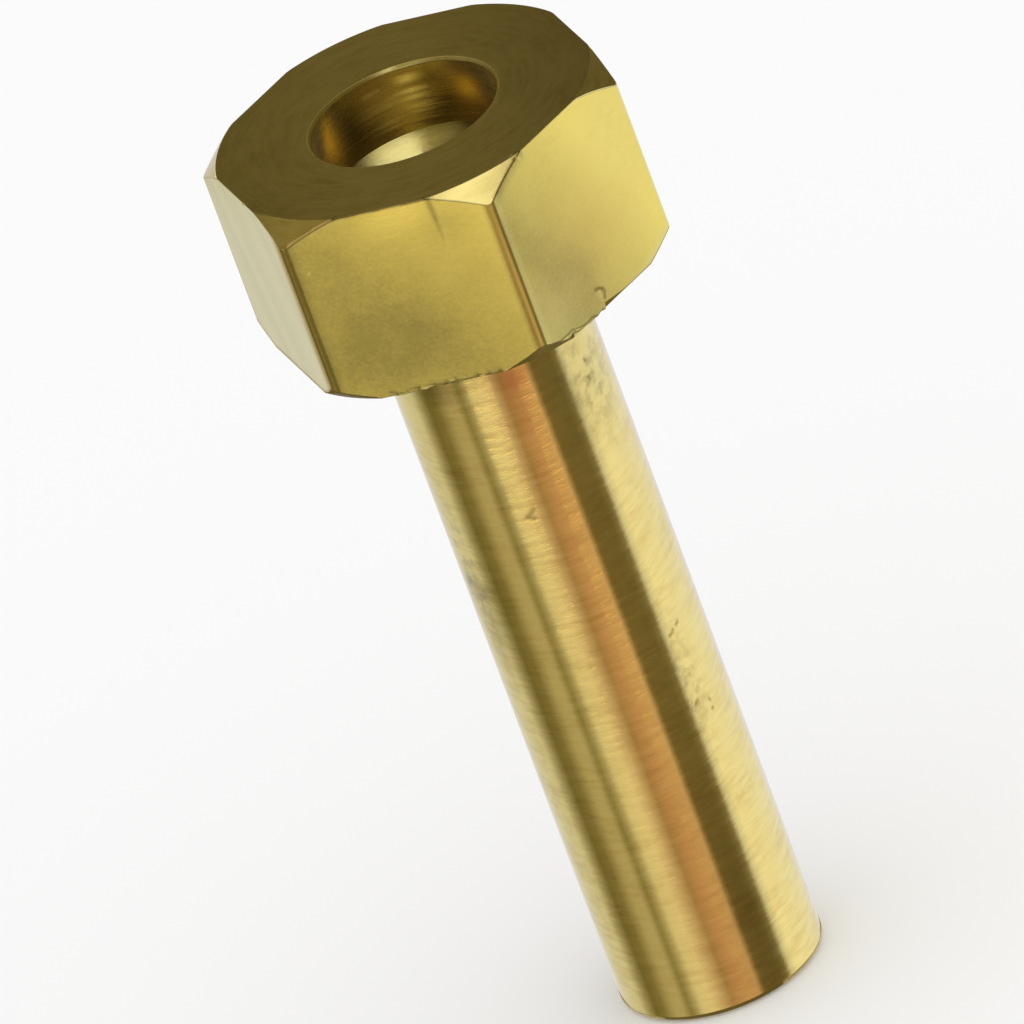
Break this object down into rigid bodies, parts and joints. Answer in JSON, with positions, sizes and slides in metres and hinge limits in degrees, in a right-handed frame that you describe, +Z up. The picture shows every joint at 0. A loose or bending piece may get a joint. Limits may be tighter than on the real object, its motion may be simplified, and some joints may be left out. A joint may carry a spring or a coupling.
{
  "type": "insert nut",
  "caption": "Solid brass insert nut: a chamfered hexagon head with a shallow plain blind bore, on a long plain round shank.",
  "frame": {"origin": "centre of the flat end of the shank, which the nut stands on", "axes": "+Z up the axis, from the shank's end to the top face of the head; one pair of the head's flats faces along Y"},
  "size_m": [0.0254, 0.0222, 0.0598],
  "materials": {
    "turned_brass": "as turned from drawn bar, slightly dulled"
  },
  "bodies": {
    "root": {"insert_nut": "turned_brass"}
  },
  "joints": []
}
